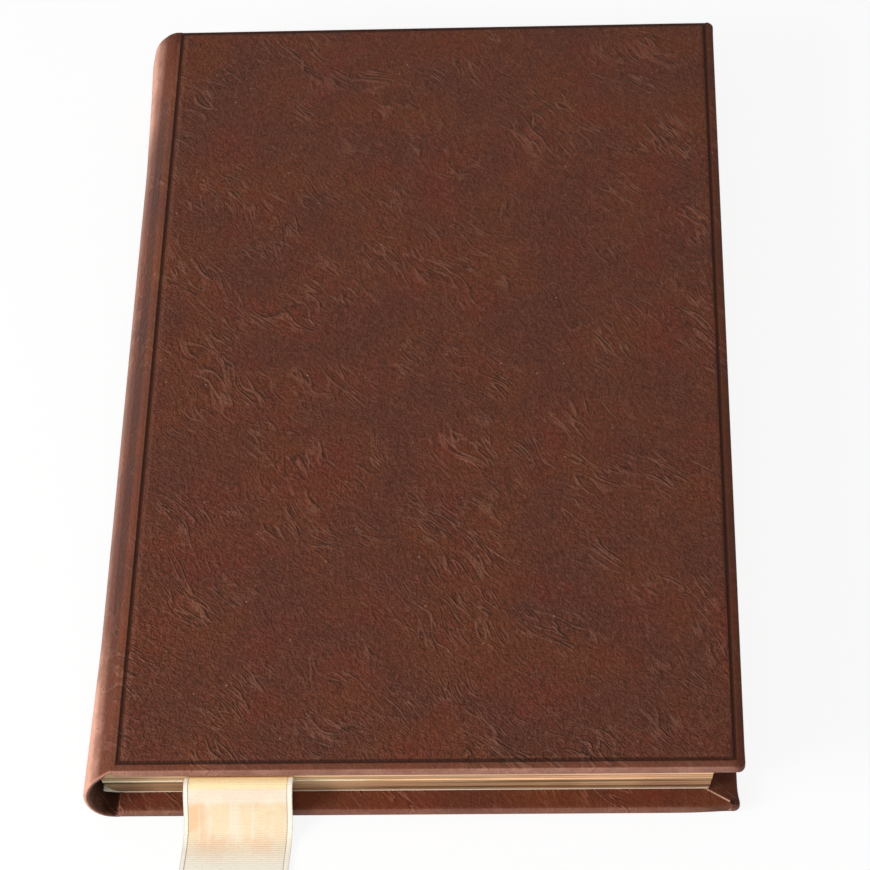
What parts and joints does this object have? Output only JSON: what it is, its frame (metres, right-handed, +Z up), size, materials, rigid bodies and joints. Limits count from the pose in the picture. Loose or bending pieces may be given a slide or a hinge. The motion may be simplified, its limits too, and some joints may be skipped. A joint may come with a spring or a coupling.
{
  "type": "leather journal",
  "caption": "Hardbound leather journal with a rounded hollow spine, gilt page edges, a tooled frame line on each cover and a wide satin ribbon marker.",
  "frame": {"origin": "centre of the back cover's outer face, which lies on the table", "axes": "+X from the spine to the fore edge, +Y from the tail to the head, +Z up through the closed book"},
  "size_m": [0.1505, 0.281, 0.0217],
  "materials": {
    "leather": "dark reddish brown smooth-grain leather, satin, with fine creases",
    "board": "grey board, matte",
    "endpaper": "plain cream paper, matte",
    "gilt_pages": "paper with gilt edges, fine lines along the leaves",
    "lining": "woven book cloth and paper, matte",
    "ribbon": "cream satin ribbon"
  },
  "bodies": {
    "book_block": {"text_block": "gilt_pages", "front_flyleaf": "endpaper", "back_flyleaf": "endpaper", "spine_lining": "lining", "ribbon_marker": "ribbon", "spine_leather": "leather", "spine_card": "board"},
    "front_cover": {"front_leather": "leather", "front_board": "board", "front_pastedown": "endpaper"},
    "back_cover": {"back_leather": "leather", "back_board": "board", "back_pastedown": "endpaper"}
  },
  "joints": [
    {"name": "front_cover_hinge", "type": "hinge", "parent": "book_block", "child": "front_cover", "pos_m": [-0.07318, 0, 0.01893], "axis": [0, -1, 0], "range_deg": [0, 180]},
    {"name": "back_cover_hinge", "type": "hinge", "parent": "book_block", "child": "back_cover", "pos_m": [-0.07621, 0, 0.00287], "axis": [0, 1, 0], "range_deg": [0, 180]}
  ]
}
